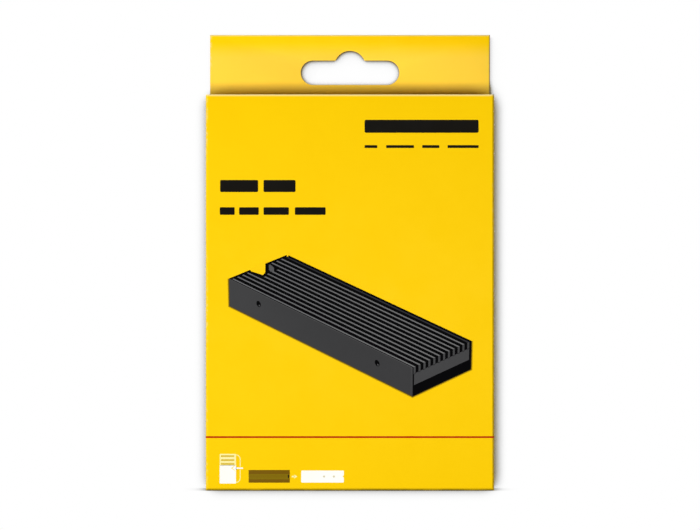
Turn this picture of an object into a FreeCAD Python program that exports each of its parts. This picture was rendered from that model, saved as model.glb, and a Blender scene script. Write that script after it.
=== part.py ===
"""Retail hang tab carton: a straight tuck end folding carton of solid board, 91 x 32 x 125 mm, whose back
panel runs up into a doubled tab with a hanging slot. Inside lie a finned heat sink set, a small screwdriver
and a folded leaflet.

Frame: X to the right, the front panel faces -Y, Z up, the origin is at the middle of the underside.
Each piece is its own named solid and is written to parts/NODE.step, in millimetres.
"""

import FreeCAD, Part
import math
import os

import Sketcher

doc = FreeCAD.newDocument("HangTabCarton")
sheet = doc.addObject("Spreadsheet::Sheet", "Sizes")

# Driving dimensions: name, millimetres or count, meaning
SIZES = (
    ("carton_width", 91.0, "outside width of the front panel"),
    ("carton_depth", 32.0, "outside depth from front panel to back panel"),
    ("carton_height", 125.0, "height of the front panel"),
    ("board", 0.5, "thickness of the solid board"),
    ("fold_inner", 0.3, "inside radius of a board fold"),
    ("glue_flap_width", 11.0, "reach of the glue flap behind the back panel"),
    ("glue_flap_setback", 1.6, "glue flap starts this far from the panel's end, at its fold"),
    ("glue_flap_taper", 5.0, "further setback at the glue flap's free edge"),
    ("tab_height", 19.7, "hang tab above the box"),
    ("hole_width", 31.5, "hanging slot, end to end"),
    ("hole_height", 7.8, "hanging slot, without its bump"),
    ("hole_lift", 3.7, "web of board below the hanging slot"),
    ("bump_radius", 5.0, "round bump over the slot's middle"),
    ("bump_rise", 5.9, "centre of the bump above the slot's lower edge"),
    ("flap_reach", 24.0, "dust flap's free edge from the side panel's outside"),
    ("flap_gap", 0.2, "air between a lid and the dust flaps"),
    ("flap_relief", 0.5, "nick at each end of a dust flap's fold"),
    ("flap_front_round", 8.0, "corner of a dust flap beside the tuck tongue"),
    ("flap_back_round", 2.0, "corner of a dust flap beside the back panel"),
    ("lid_inset", 1.0, "lid's side edge from the side panel's outside"),
    ("crease_gap", 0.15, "air at a lid's crease"),
    ("tuck_gap", 0.3, "air between a tuck tongue and the front panel"),
    ("top_tuck_depth", 16.0, "reach of the top tuck tongue below its lid"),
    ("base_tuck_depth", 12.0, "reach of the bottom tuck tongue above its lid"),
    ("tuck_round", 7.0, "corners of a tuck tongue"),
    ("sink_length", 71.5, "heat sink along X"),
    ("sink_height", 10.0, "heat sink along Z"),
    ("sink_gap", 0.4, "air between the heat sink and the bottom tuck tongue"),
    ("tray_wall", 1.0, "wall and floor of the heat sink's tray"),
    ("bay_height", 3.9, "room for the circuit board between tray floor and cover"),
    ("fin_count", 12, "fins on the cover"),
    ("fin_width", 0.8, "thickness of a fin"),
    ("fin_height", 2.9, "height of a fin above the cover's web"),
    ("notch_length", 5.0, "notch in the cover's left end, along X"),
    ("notch_width", 5.6, "notch in the cover's left end, along Y"),
    ("pad_length", 66.0, "thermal pad along X"),
    ("pad_margin", 1.25, "tray floor left bare beside a thermal pad"),
    ("pad_thickness", 1.0, "thermal pad"),
    ("screw_reach", 4.0, "side screw, tip from the tray's outside"),
    ("screw_radius", 0.7, "side screw shank"),
    ("screw_head_radius", 1.2, "side screw head"),
    ("screw_head_height", 0.6, "side screw head, level with the tray's outside"),
    ("screw_spacing", 46.0, "between the two side screws of one side"),
    ("driver_handle_length", 34.0, "screwdriver handle"),
    ("driver_handle_flats", 7.0, "screwdriver handle across its flats"),
    ("driver_handle_crown", 0.2, "rounds the handle's ends: more leaves them flatter"),
    ("driver_shaft_length", 26.0, "screwdriver shaft outside its handle"),
    ("driver_shaft_radius", 1.1, "screwdriver shaft"),
    ("driver_socket_depth", 12.0, "screwdriver shaft inside its handle"),
    ("driver_tip_length", 3.0, "cone at the screwdriver's tip"),
    ("driver_tip_radius", 0.45, "end of the screwdriver's tip"),
    ("leaflet_width", 60.0, "folded leaflet along X, between its folds"),
    ("leaflet_height", 84.0, "folded leaflet along Z"),
    ("leaflet_paper", 0.2, "each layer of the leaflet"),
    ("leaflet_air", 0.14, "air between the leaflet's layers"),
    ("leaflet_gap", 0.3, "air between the leaflet and the heat sink"),
    ("leaflet_clearance", 1.68, "air between the leaflet and the back panel"),
)
VALUE_COLUMN = "B"
for row, (alias, value, meaning) in enumerate(SIZES, start=1):
    sheet.set(f"A{row}", meaning)
    sheet.set(f"{VALUE_COLUMN}{row}", str(value))
    sheet.setAlias(f"{VALUE_COLUMN}{row}", alias)
doc.recompute()


def cell(alias):
    return f"Sizes.{alias}"


def number(expression):
    """What an expression over the sheet comes to, for a first guess or a place to look for an edge."""
    return float(sheet.evalExpression(str(expression)))


# Levels and faces worked out from the driving dimensions
BOARD = cell("board")
HEIGHT = cell("carton_height")
HALF_WIDTH = f"{cell('carton_width')} / 2"
HALF_DEPTH = f"{cell('carton_depth')} / 2"
FOLD_OUTER = f"({cell('fold_inner')} + {BOARD})"
FLAP_DROP = f"({BOARD} + {cell('flap_gap')})"
SIDE_EDGE_HALF = f"({HALF_DEPTH} - {BOARD} - {FOLD_OUTER})"
FLAP_ROOT_HALF = f"({SIDE_EDGE_HALF} - {cell('flap_relief')})"
TAB_FACE = f"({HALF_DEPTH} - 2 * {BOARD})"
TAB_TOP = f"({HEIGHT} + {cell('tab_height')})"
FRONT_INSIDE = f"({HALF_DEPTH} - {BOARD})"
TOP_HINGE_Y = f"({TAB_FACE} - {cell('crease_gap')})"
BASE_LID_BACK = f"({FRONT_INSIDE} - {cell('crease_gap')})"
TOP_SWING = f"({TOP_HINGE_Y} + {FRONT_INSIDE} - {cell('tuck_gap')})"
BASE_SWING = f"({HALF_DEPTH} + {FRONT_INSIDE} - {cell('tuck_gap')})"
CONTENTS_FLOOR = f"({FLAP_DROP} + {BOARD})"
TONGUE_END = f"({HALF_DEPTH} - sqrt(({BASE_SWING} - {BOARD}) ^ 2 - {cell('base_tuck_depth')} ^ 2))"
SINK_FRONT = f"({TONGUE_END} + {cell('sink_gap')})"
LEAFLET_DEPTH = f"(3 * {cell('leaflet_paper')} + 2 * {cell('leaflet_air')})"
LEAFLET_FRONT = f"({FRONT_INSIDE} - {cell('leaflet_clearance')} - {LEAFLET_DEPTH})"
SINK_BACK = f"({LEAFLET_FRONT} - {cell('leaflet_gap')})"
SINK_WIDTH = f"({SINK_BACK} - {SINK_FRONT})"
SINK_MIDDLE = f"(({SINK_FRONT} + {SINK_BACK}) / 2)"
PAD_WIDTH = f"({SINK_WIDTH} - 2 * ({cell('tray_wall')} + {cell('pad_margin')}))"
SINK_TOP = f"({CONTENTS_FLOOR} + {cell('sink_height')})"
TRAY_FLOOR = f"({CONTENTS_FLOOR} + {cell('tray_wall')})"
WEB_BOTTOM = f"({TRAY_FLOOR} + {cell('bay_height')})"
WEB_TOP = f"({SINK_TOP} - {cell('fin_height')})"
COVER_HALF = f"({SINK_WIDTH} / 2 - {cell('tray_wall')})"
FIN_PITCH = f"((2 * {COVER_HALF} - {cell('fin_width')}) / ({cell('fin_count')} - 1))"
SCREW_LEVEL = f"(({WEB_BOTTOM} + {WEB_TOP}) / 2)"


# Sketch and feature helpers

def plane(body, role):
    return next(f for f in body.Origin.OriginFeatures if f.Role == role)


def sketch_on(body, name, role, offset=None):
    """A sketch on one of the body's origin planes, moved along the plane's normal by an expression."""
    sketch = body.newObject("Sketcher::SketchObject", name)
    sketch.AttachmentSupport = [(plane(body, role), "")]
    sketch.MapMode = "FlatFace"
    if offset is not None:
        sketch.setExpression("AttachmentOffset.Base.z", offset)
    return sketch


def arc_between(start, end, radius, turn):
    """The arc under half a turn from start to end, turning left for turn 1 and right for turn -1."""
    middle = (start + end) / 2
    chord = end - start
    rise = math.sqrt(max(radius**2 - (chord.Length / 2) ** 2, 0.0))
    left = FreeCAD.Vector(-chord.y, chord.x, 0).normalize()
    centre = middle + left * rise * turn
    first, last = (start, end) if turn > 0 else (end, start)
    angles = [math.atan2(p.y - centre.y, p.x - centre.x) for p in (first, last)]
    return Part.ArcOfCircle(Part.Circle(centre, FreeCAD.Vector(0, 0, 1), radius), *angles)


def outline(sketch, corners, arcs=None):
    """A closed loop. Each corner is a pair of expressions. arcs gives, for the edge that leaves a corner,
    its radius as an expression and its turn: 1 to the left, -1 to the right."""
    arcs = arcs or {}
    points = [FreeCAD.Vector(number(x), number(y), 0) for x, y in corners]
    ends = []
    for i, start in enumerate(points):
        end = points[(i + 1) % len(points)]
        if i in arcs:
            radius, turn = arcs[i]
            edge = sketch.addGeometry(arc_between(start, end, number(radius), turn), False)
            tie = sketch.addConstraint(Sketcher.Constraint("Radius", edge, number(radius)))
            sketch.setExpression(f"Constraints[{tie}]", radius)
            ends.append((edge, 1, 2) if turn > 0 else (edge, 2, 1))
        else:
            edge = sketch.addGeometry(Part.LineSegment(start, end), False)
            ends.append((edge, 1, 2))
    for i, (edge, first, last) in enumerate(ends):
        following, joined, _ = ends[(i + 1) % len(ends)]
        sketch.addConstraint(Sketcher.Constraint("Coincident", edge, last, following, joined))
        for kind, value, expression in zip(("DistanceX", "DistanceY"), points[i], corners[i]):
            tie = sketch.addConstraint(Sketcher.Constraint(kind, -1, 1, edge, first, value))
            sketch.setExpression(f"Constraints[{tie}]", str(expression))


def rectangle(sketch, low_x, low_y, high_x, high_y):
    outline(sketch, [(low_x, low_y), (high_x, low_y), (high_x, high_y), (low_x, high_y)])


def feature(body, kind, name, profile, length, both_ways=False, backwards=False):
    made = body.newObject(f"PartDesign::{kind}", name)
    made.Profile = profile
    if length is None:
        made.Type = "ThroughAll"
    else:
        made.setExpression("Length", length)
    made.Midplane = both_ways
    made.Reversed = backwards
    profile.Visibility = False
    doc.recompute()
    return made


def edges_at(shape, places, reach):
    """Names of the shape's edges whose middle lies within reach of one of the places."""
    names = []
    for i, edge in enumerate(shape.Edges, start=1):
        middle = edge.valueAt((edge.FirstParameter + edge.LastParameter) / 2)
        if any(middle.distanceToPoint(place) < reach for place in places):
            names.append(f"Edge{i}")
    return names


def round_edges(body, name, places, radius, reach):
    base = body.Tip
    made = body.newObject("PartDesign::Fillet", name)
    made.Base = (base, edges_at(base.Shape, places, reach))
    made.setExpression("Radius", radius)
    doc.recompute()
    return made


def new_body(label):
    body = doc.addObject("PartDesign::Body", label)
    body.Label = label
    return body


# Carton sleeve: four panels, glue flap, four dust flaps and the doubled hang tab, folded from one sheet

def panel_ring(body):
    """The panels in plan. The back panel ends short of the left corner, over the glue flap."""
    r = FOLD_OUTER
    inner = cell("fold_inner")
    seam = f"-({HALF_WIDTH}) + {r}"
    flap_end = f"-({HALF_WIDTH}) + {cell('glue_flap_width')}"
    flap_face = f"({HALF_DEPTH} - 2 * {BOARD})"
    right, right_in = f"{HALF_WIDTH}", f"{HALF_WIDTH} - {BOARD}"
    left, left_in = f"-({HALF_WIDTH})", f"-({HALF_WIDTH}) + {BOARD}"
    right_fold = f"{HALF_WIDTH} - {r}"
    front, front_in = f"-({HALF_DEPTH})", f"-({FRONT_INSIDE})"
    front_fold = f"-({HALF_DEPTH}) + {r}"
    back, back_in = f"{HALF_DEPTH}", FRONT_INSIDE
    back_fold = f"{HALF_DEPTH} - {r}"
    glue_fold = f"{HALF_DEPTH} - {BOARD} - {r}"
    sketch = sketch_on(body, "panel_plan", "XY_Plane")
    outline(
        sketch,
        [
            (seam, back_in), (left, glue_fold), (left, front_fold), (seam, front),
            (right_fold, front), (right, front_fold), (right, back_fold), (right_fold, back),
            (seam, back),
        ],
        {0: (r, 1), 2: (r, 1), 4: (r, 1), 6: (r, 1)},
    )
    outline(
        sketch,
        [
            (flap_end, flap_face), (seam, flap_face), (left_in, glue_fold), (left_in, front_fold),
            (seam, front_in), (right_fold, front_in), (right_in, front_fold), (right_in, back_fold),
            (right_fold, back_in), (flap_end, back_in),
        ],
        {1: (inner, 1), 3: (inner, 1), 5: (inner, 1), 7: (inner, 1)},
    )
    return feature(body, "Pad", "panels", sketch, HEIGHT)


def trim_side_panels(body):
    """The side panels stop where their dust flaps fold over, at both ends."""
    for end, level, into in (("top", HEIGHT, False), ("bottom", "0", True)):
        sketch = sketch_on(body, f"side_trim_{end}", "XY_Plane", level)
        for sign in ("-", ""):
            near, far = f"{sign}({HALF_WIDTH} - 2 * {BOARD})", f"{sign}({HALF_WIDTH} + {BOARD})"
            low, high = (far, near) if sign else (near, far)
            rectangle(sketch, low, f"-{SIDE_EDGE_HALF}", high, SIDE_EDGE_HALF)
        feature(body, "Pocket", f"side_panels_{end}", sketch, f"{FLAP_DROP} + {FOLD_OUTER}", backwards=into)


def trim_glue_flap(body):
    """The glue flap's ends slope back from its crease, so that they stand clear of the back panel's edge."""
    root = f"-({HALF_WIDTH}) + {BOARD}"
    free = f"-({HALF_WIDTH}) + {cell('glue_flap_width')} + {BOARD}"
    short = cell("glue_flap_setback")
    deep = f"{short} + {cell('glue_flap_taper')}"
    sketch = sketch_on(body, "glue_flap_ends", "XZ_Plane", f"-({FRONT_INSIDE})")
    outline(sketch, [(root, "0"), (free, "0"), (free, deep), (root, short)])
    outline(
        sketch,
        [(root, HEIGHT), (root, f"{HEIGHT} - ({short})"), (free, f"{HEIGHT} - ({deep})"), (free, HEIGHT)],
    )
    feature(body, "Pocket", "glue_flap", sketch, f"2 * {BOARD}", backwards=True)


def dust_flap(body, side, end):
    """One dust flap: its fold at the side panel's edge and its plate with rounded free corners."""
    name = f"{'left' if side < 0 else 'right'}_{'top' if end > 0 else 'bottom'}"
    outside = f"({HEIGHT} - {FLAP_DROP})" if end > 0 else FLAP_DROP
    centre = f"({outside} - {end} * {FOLD_OUTER})"
    root = f"{side} * ({HALF_WIDTH} - {FOLD_OUTER})"
    free = f"{side} * ({HALF_WIDTH} - {cell('flap_reach')})"
    half = FLAP_ROOT_HALF
    fold = sketch_on(body, f"fold_{name}", "XZ_Plane")
    outline(
        fold,
        [
            (f"{side} * {HALF_WIDTH}", centre),
            (root, outside),
            (root, f"{centre} + {end} * {cell('fold_inner')}"),
            (f"{side} * ({HALF_WIDTH} - {BOARD})", centre),
        ],
        {0: (FOLD_OUTER, side * end), 2: (cell("fold_inner"), -side * end)},
    )
    feature(body, "Pad", f"dust_flap_fold_{name}", fold, f"2 * {half}", both_ways=True)
    front, back = cell("flap_front_round"), cell("flap_back_round")
    plate = sketch_on(body, f"plate_{name}", "XY_Plane", outside)
    outline(
        plate,
        [
            (root, f"-{half}"),
            (f"{free} + {side} * {front}", f"-{half}"),
            (free, f"-{half} + {front}"),
            (free, f"{half} - {back}"),
            (f"{free} + {side} * {back}", half),
            (root, half),
        ],
        {1: (front, -side), 3: (back, -side)},
    )
    feature(body, "Pad", f"dust_flap_{name}", plate, BOARD, backwards=end > 0)


def hang_tab(body):
    """The back panel runs up, folds over and comes down again in front of itself, glued."""
    shoulder = f"({TAB_TOP} - {BOARD})"
    section = sketch_on(body, "tab_section", "YZ_Plane")
    outline(
        section,
        [
            (HALF_DEPTH, HEIGHT), (HALF_DEPTH, shoulder), (FRONT_INSIDE, TAB_TOP),
            (TAB_FACE, shoulder), (TAB_FACE, HEIGHT),
        ],
        {1: (BOARD, 1), 2: (BOARD, 1)},
    )
    feature(body, "Pad", "tab", section, f"{cell('carton_width')} - 2 * {FOLD_OUTER}", both_ways=True)
    half, end = f"{cell('hole_width')} / 2", f"{cell('hole_height')} / 2"
    low = f"({HEIGHT} + {cell('hole_lift')})"
    middle = f"({low} + {end})"
    high = f"({low} + {cell('hole_height')})"
    bump = f"sqrt({cell('bump_radius')} ^ 2 - ({cell('hole_height')} - {cell('bump_rise')}) ^ 2)"
    hole = sketch_on(body, "hanging_slot", "XZ_Plane")
    outline(
        hole,
        [
            (f"-({half}) + {end}", low), (f"{half} - {end}", low), (half, middle), (f"{half} - {end}", high),
            (bump, high), (f"-{bump}", high), (f"-({half}) + {end}", high), (f"-({half})", middle),
        ],
        {1: (end, 1), 2: (end, 1), 4: (cell("bump_radius"), 1), 6: (end, 1), 7: (end, 1)},
    )
    feature(body, "Pocket", "slot", hole, None, both_ways=True)


def carton_sleeve():
    body = new_body("carton_sleeve")
    panel_ring(body)
    trim_side_panels(body)
    trim_glue_flap(body)
    for side in (-1, 1):
        for end in (-1, 1):
            dust_flap(body, side, end)
    hang_tab(body)
    return body


# Tuck lids: a panel with a tongue that curves about the lid's hinge, so that it slides out behind the front

def tuck_lid(label, hinge_y, hinge_z, back_y, swing, depth, inward):
    body = new_body(label)
    inside = f"({swing} - {BOARD})"
    reach = f"{hinge_z} + {inward} * {depth}"
    inner_face = f"{hinge_z} + {inward} * {BOARD}"
    front = f"{hinge_y} - {swing}"
    inner_corner = f"{hinge_y} - sqrt({inside} ^ 2 - {BOARD} ^ 2)"
    tip_outer = f"{hinge_y} - sqrt({swing} ^ 2 - {depth} ^ 2)"
    tip_inner = f"{hinge_y} - sqrt({inside} ^ 2 - {depth} ^ 2)"
    section = sketch_on(body, f"{label}_section", "YZ_Plane")
    outline(
        section,
        [
            (back_y, hinge_z), (front, hinge_z), (tip_outer, reach), (tip_inner, reach),
            (inner_corner, inner_face), (back_y, inner_face),
        ],
        {1: (swing, -inward), 3: (inside, inward)},
    )
    feature(body, "Pad", f"{label}_card", section, f"{cell('carton_width')} - 2 * {cell('lid_inset')}", True)
    near = number(BOARD)
    fold_outer = FreeCAD.Vector(0, number(front), number(hinge_z))
    fold_inner = FreeCAD.Vector(0, number(inner_corner), number(inner_face))
    round_edges(body, f"{label}_fold", [fold_outer], FOLD_OUTER, near / 2)
    round_edges(body, f"{label}_fold_inside", [fold_inner], cell("fold_inner"), near / 2)
    round_tongue(body, label, reach, inward)
    return body


def round_tongue(body, label, reach, inward):
    """Cuts the tongue's two corners to quarter circles."""
    sketch = sketch_on(body, f"{label}_tongue_corners", "XZ_Plane")
    edge = f"({HALF_WIDTH} - {cell('lid_inset')})"
    corner = cell("tuck_round")
    start, beyond = f"{reach} - {inward} * {corner}", f"{reach} + {inward} * {BOARD}"
    for side in (-1, 1):
        inner, outer = f"{side} * ({edge} - {corner})", f"{side} * ({edge} + {BOARD})"
        outline(
            sketch,
            [(f"{side} * {edge}", start), (inner, reach), (inner, beyond), (outer, beyond), (outer, start)],
            {0: (corner, side * inward)},
        )
    feature(body, "Pocket", f"{label}_rounded", sketch, None, both_ways=True)


# Heat sink: a U tray, a finned cover between its walls, two thermal pads and four side screws

def heatsink_base():
    body = new_body("heatsink_base")
    wall = cell("tray_wall")
    section = sketch_on(body, "tray_section", "YZ_Plane")
    outline(
        section,
        [
            (SINK_FRONT, CONTENTS_FLOOR), (SINK_BACK, CONTENTS_FLOOR), (SINK_BACK, SINK_TOP),
            (f"{SINK_BACK} - {wall}", SINK_TOP), (f"{SINK_BACK} - {wall}", TRAY_FLOOR),
            (f"{SINK_FRONT} + {wall}", TRAY_FLOOR), (f"{SINK_FRONT} + {wall}", SINK_TOP),
            (SINK_FRONT, SINK_TOP),
        ],
    )
    feature(body, "Pad", "tray", section, cell("sink_length"), both_ways=True)
    shanks = screw_circles(body, "tray_screw_holes", "0", cell("screw_radius"))
    feature(body, "Pocket", "screw_holes", shanks, None, both_ways=True)
    depth = cell("screw_head_height")
    front_seats = screw_circles(body, "front_head_seats", f"-({SINK_FRONT})", cell("screw_head_radius"))
    feature(body, "Pocket", "front_seats", front_seats, depth)
    back_seats = screw_circles(body, "back_head_seats", f"-({SINK_BACK})", cell("screw_head_radius"))
    feature(body, "Pocket", "back_seats", back_seats, depth, backwards=True)
    return body


def screw_circles(body, name, offset, radius):
    """Circles at the two screw places of one side, on a plane square to Y."""
    sketch = sketch_on(body, name, "XZ_Plane", offset)
    for sign in ("-", ""):
        place = f"{sign}({cell('screw_spacing')} / 2)"
        centre = FreeCAD.Vector(number(place), number(SCREW_LEVEL), 0)
        circle = Part.Circle(centre, FreeCAD.Vector(0, 0, 1), number(radius))
        edge = sketch.addGeometry(circle, False)
        for kind, value, expression in (
            ("DistanceX", centre.x, place),
            ("DistanceY", centre.y, SCREW_LEVEL),
        ):
            tie = sketch.addConstraint(Sketcher.Constraint(kind, -1, 1, edge, 3, value))
            sketch.setExpression(f"Constraints[{tie}]", expression)
        tie = sketch.addConstraint(Sketcher.Constraint("Radius", edge, number(radius)))
        sketch.setExpression(f"Constraints[{tie}]", radius)
    return sketch


def heatsink_cover():
    """A bar with gaps cut along it, so that fins stand on a web, with threaded side holes and an end notch."""
    body = new_body("heatsink_cover")
    length = cell("sink_length")
    low, high = f"{SINK_MIDDLE} - {COVER_HALF}", f"{SINK_MIDDLE} + {COVER_HALF}"
    section = sketch_on(body, "cover_section", "YZ_Plane")
    rectangle(section, low, WEB_BOTTOM, high, SINK_TOP)
    feature(body, "Pad", "bar", section, length, both_ways=True)
    gap = sketch_on(body, "first_gap", "YZ_Plane")
    gap_low = f"{low} + {cell('fin_width')}"
    rectangle(gap, gap_low, WEB_TOP, f"{low} + {FIN_PITCH}", f"{SINK_TOP} + {BOARD}")
    cut = feature(body, "Pocket", "fin_gap", gap, None, both_ways=True)
    gaps = body.newObject("PartDesign::LinearPattern", "fin_gaps")
    gaps.Originals = [cut]
    gaps.Direction = (gap, ["H_Axis"])
    gaps.setExpression("Length", f"{FIN_PITCH} * ({cell('fin_count')} - 2)")
    gaps.setExpression("Occurrences", f"{cell('fin_count')} - 1")
    body.Tip = gaps
    doc.recompute()
    notch = sketch_on(body, "end_notch", "XY_Plane")
    half_notch = f"{cell('notch_width')} / 2"
    rectangle(
        notch,
        f"-{length} / 2 - {BOARD}",
        f"{SINK_MIDDLE} - {half_notch}",
        f"-{length} / 2 + {cell('notch_length')}",
        f"{SINK_MIDDLE} + {half_notch}",
    )
    feature(body, "Pocket", "notch", notch, None, both_ways=True)
    holes = screw_circles(body, "cover_screw_holes", "0", cell("screw_radius"))
    feature(body, "Pocket", "threaded_holes", holes, None, both_ways=True)
    return body


def thermal_pad(label, level):
    pad = doc.addObject("Part::Box", label)
    pad.Label = label
    pad.setExpression("Length", cell("pad_length"))
    pad.setExpression("Width", PAD_WIDTH)
    pad.setExpression("Height", cell("pad_thickness"))
    pad.setExpression("Placement.Base.x", f"-{cell('pad_length')} / 2")
    pad.setExpression("Placement.Base.y", f"{SINK_MIDDLE} - {PAD_WIDTH} / 2")
    pad.setExpression("Placement.Base.z", level)
    return pad


def side_screws():
    """Four screws, two on each side, with their heads let in level with the tray's walls."""
    screws = []
    for name, face, turn in (("front", SINK_FRONT, -90), ("back", SINK_BACK, 90)):
        for side in (-1, 1):
            head = doc.addObject("Part::Cylinder", f"{name}_head_{'left' if side < 0 else 'right'}")
            head.setExpression("Radius", cell("screw_head_radius"))
            head.setExpression("Height", cell("screw_head_height"))
            shank = doc.addObject("Part::Cylinder", f"{name}_shank_{'left' if side < 0 else 'right'}")
            shank.setExpression("Radius", cell("screw_radius"))
            shank.setExpression("Height", cell("screw_reach"))
            screw = doc.addObject("Part::MultiFuse", f"{name}_screw_{'left' if side < 0 else 'right'}")
            screw.Shapes = [head, shank]
            screw.Placement.Rotation = FreeCAD.Rotation(FreeCAD.Vector(1, 0, 0), turn)
            screw.setExpression("Placement.Base.x", f"{side} * {cell('screw_spacing')} / 2")
            screw.setExpression("Placement.Base.y", face)
            screw.setExpression("Placement.Base.z", SCREW_LEVEL)
            screws.append(screw)
    group = doc.addObject("Part::Compound", "side_screws")
    group.Label = "side_screws"
    group.Links = screws
    return group


# Loose things: the screwdriver lies on the fins, the folded leaflet stands behind the heat sink

DRIVER_LEVEL = f"({SINK_TOP} + {cell('driver_handle_flats')} / 2)"
DRIVER_START = f"(-({cell('driver_handle_length')} + {cell('driver_shaft_length')}) / 2)"


def along_x(thing, start):
    """Turns a thing built up along Z to run along X from start, over the middle of the heat sink, and a
    sixth of its hexagon about its own line so that a flat lies below."""
    lying = FreeCAD.Rotation(FreeCAD.Vector(0, 1, 0), 90)
    on_a_flat = FreeCAD.Rotation(FreeCAD.Vector(0, 0, 1), 30)
    thing.Placement.Rotation = lying.multiply(on_a_flat)
    thing.setExpression("Placement.Base.x", start)
    thing.setExpression("Placement.Base.y", SINK_MIDDLE)
    thing.setExpression("Placement.Base.z", DRIVER_LEVEL)
    return thing


def screwdriver_handle():
    """A hexagonal bar with rounded ends, lying on one of its flats, with a blind socket for the shaft."""
    length = cell("driver_handle_length")
    bar = doc.addObject("Part::Prism", "handle_bar")
    bar.Polygon = 6
    bar.setExpression("Circumradius", f"{cell('driver_handle_flats')} / sqrt(3)")
    bar.setExpression("Height", length)
    rounding = doc.addObject("Part::Sphere", "handle_rounding")
    rounding.setExpression("Radius", f"{length} / 2 + {cell('driver_handle_crown')}")
    rounding.setExpression("Placement.Base.z", f"{length} / 2")
    rounded = doc.addObject("Part::MultiCommon", "handle_rounded")
    rounded.Shapes = [bar, rounding]
    socket = doc.addObject("Part::Cylinder", "handle_socket")
    socket.setExpression("Radius", cell("driver_shaft_radius"))
    socket.setExpression("Height", f"{cell('driver_socket_depth')} + {BOARD}")
    socket.setExpression("Placement.Base.z", f"{length} - {cell('driver_socket_depth')}")
    handle = doc.addObject("Part::Cut", "screwdriver_handle")
    handle.Label = "screwdriver_handle"
    handle.Base = rounded
    handle.Tool = socket
    return along_x(handle, DRIVER_START)


def screwdriver_shaft():
    straight = doc.addObject("Part::Cylinder", "shaft_rod")
    straight.setExpression("Radius", cell("driver_shaft_radius"))
    rod = f"{cell('driver_socket_depth')} + {cell('driver_shaft_length')} - {cell('driver_tip_length')}"
    straight.setExpression("Height", rod)
    tip = doc.addObject("Part::Cone", "shaft_tip")
    tip.setExpression("Radius1", cell("driver_shaft_radius"))
    tip.setExpression("Radius2", cell("driver_tip_radius"))
    tip.setExpression("Height", cell("driver_tip_length"))
    tip.setExpression("Placement.Base.z", rod)
    shaft = doc.addObject("Part::MultiFuse", "screwdriver_shaft")
    shaft.Label = "screwdriver_shaft"
    shaft.Shapes = [straight, tip]
    start = f"{DRIVER_START} + {cell('driver_handle_length')} - {cell('driver_socket_depth')}"
    return along_x(shaft, start)


def instruction_leaflet():
    """One strip of paper folded twice into three layers, in plan an S, standing on the dust flaps."""
    body = new_body("instruction_leaflet")
    paper, air = cell("leaflet_paper"), cell("leaflet_air")
    pitch = f"({paper} + {air})"
    near = LEAFLET_FRONT
    left, right = f"-{cell('leaflet_width')} / 2", f"{cell('leaflet_width')} / 2"
    outer, inner = f"({paper} + {air} / 2)", f"({air} / 2)"

    def layer(count, side):
        return f"{near} + {count} * {pitch} + {side} * {paper}"

    plan = sketch_on(body, "leaflet_plan", "XY_Plane", CONTENTS_FLOOR)
    outline(
        plan,
        [
            (left, layer(0, 0)), (right, layer(0, 0)),
            (f"{right} + {outer}", f"{layer(0, 1)} + {inner}"), (right, layer(1, 1)),
            (left, layer(1, 1)), (f"{left} - {inner}", f"{layer(1, 1)} + {inner}"), (left, layer(2, 0)),
            (right, layer(2, 0)), (right, layer(2, 1)),
            (left, layer(2, 1)), (f"{left} - {outer}", f"{layer(1, 1)} + {inner}"), (left, layer(1, 0)),
            (right, layer(1, 0)), (f"{right} + {inner}", f"{layer(0, 1)} + {inner}"), (right, layer(0, 1)),
            (left, layer(0, 1)),
        ],
        {
            1: (outer, 1), 2: (outer, 1), 4: (inner, -1), 5: (inner, -1),
            9: (outer, 1), 10: (outer, 1), 12: (inner, -1), 13: (inner, -1),
        },
    )
    feature(body, "Pad", "leaflet", plan, cell("leaflet_height"))
    return body


def build():
    pieces = [
        carton_sleeve(),
        tuck_lid("top_tuck_lid", TOP_HINGE_Y, HEIGHT, TOP_HINGE_Y, TOP_SWING, cell("top_tuck_depth"), -1),
        tuck_lid("bottom_tuck_lid", HALF_DEPTH, "0", BASE_LID_BACK, BASE_SWING, cell("base_tuck_depth"), 1),
        heatsink_base(),
        heatsink_cover(),
        thermal_pad("lower_thermal_pad", TRAY_FLOOR),
        thermal_pad("upper_thermal_pad", f"{WEB_BOTTOM} - {cell('pad_thickness')}"),
        side_screws(),
        screwdriver_handle(),
        screwdriver_shaft(),
        instruction_leaflet(),
    ]
    doc.recompute()
    return pieces


def check(pieces):
    """Stops before anything is written if an object of the document failed or a piece is not a sound solid."""
    for thing in doc.Objects:
        if {"Invalid", "Error"} & set(thing.State):
            raise RuntimeError(f"{thing.Name} failed: {thing.State}")
    for piece in pieces:
        shape = piece.Shape
        if shape.isNull() or not shape.isValid() or not shape.Solids:
            raise RuntimeError(f"{piece.Label} is not a valid solid")


pieces = build()
check(pieces)
os.makedirs("parts", exist_ok=True)
for piece in pieces:
    piece.Shape.exportStep(f"parts/{piece.Label}.step")
    box = piece.Shape.BoundBox
    print(
        f"{piece.Label}: {len(piece.Shape.Solids)} solid(s), {piece.Shape.Volume:.1f} mm3, "
        f"x {box.XMin:.2f}..{box.XMax:.2f} y {box.YMin:.2f}..{box.YMax:.2f} z {box.ZMin:.2f}..{box.ZMax:.2f}"
    )
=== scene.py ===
"""Dresses the hang tab carton: folded printed card, its flat print, and the heat sink set inside."""

import math

import bmesh
import bpy
from mathutils import Matrix, Vector


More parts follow.
